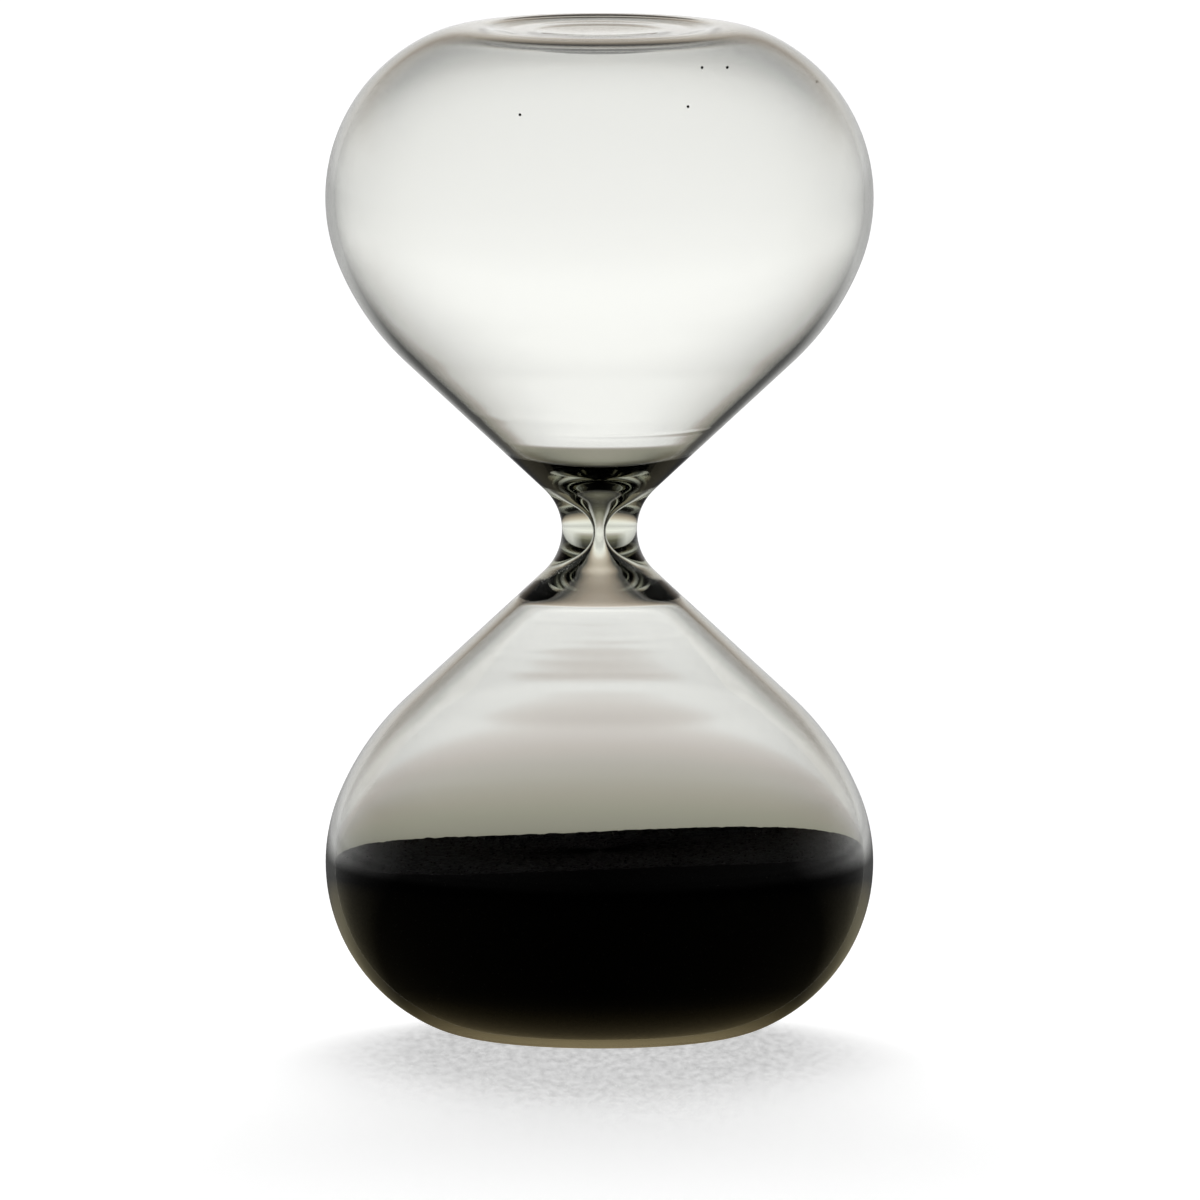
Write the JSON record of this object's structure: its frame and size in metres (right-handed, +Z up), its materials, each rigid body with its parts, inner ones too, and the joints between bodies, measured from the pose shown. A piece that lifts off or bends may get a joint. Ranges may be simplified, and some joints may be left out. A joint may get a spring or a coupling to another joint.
{
  "type": "hourglass",
  "caption": "Frameless blown-glass hourglass: two rounded bulbs joined by a thick neck with a fine bore, black sand sealed in the lower bulb.",
  "frame": {"origin": "centre of the flat ring that the glass stands on", "axes": "+Z up along the axis of both bulbs; +X to the right and +Y to the back, seen from the front"},
  "size_m": [0.1, 0.1, 0.1848],
  "materials": {
    "clear_glass": "clear, fire-polished",
    "black_sand": "fine matt grains"
  },
  "bodies": {
    "root": {"lower_dome": "clear_glass", "lower_seal": "clear_glass", "lower_cone": "clear_glass", "neck": "clear_glass", "upper_cone": "clear_glass", "upper_dome": "clear_glass", "upper_seal": "clear_glass", "sand_bed": "black_sand", "clinging_grains": "black_sand"}
  },
  "joints": []
}
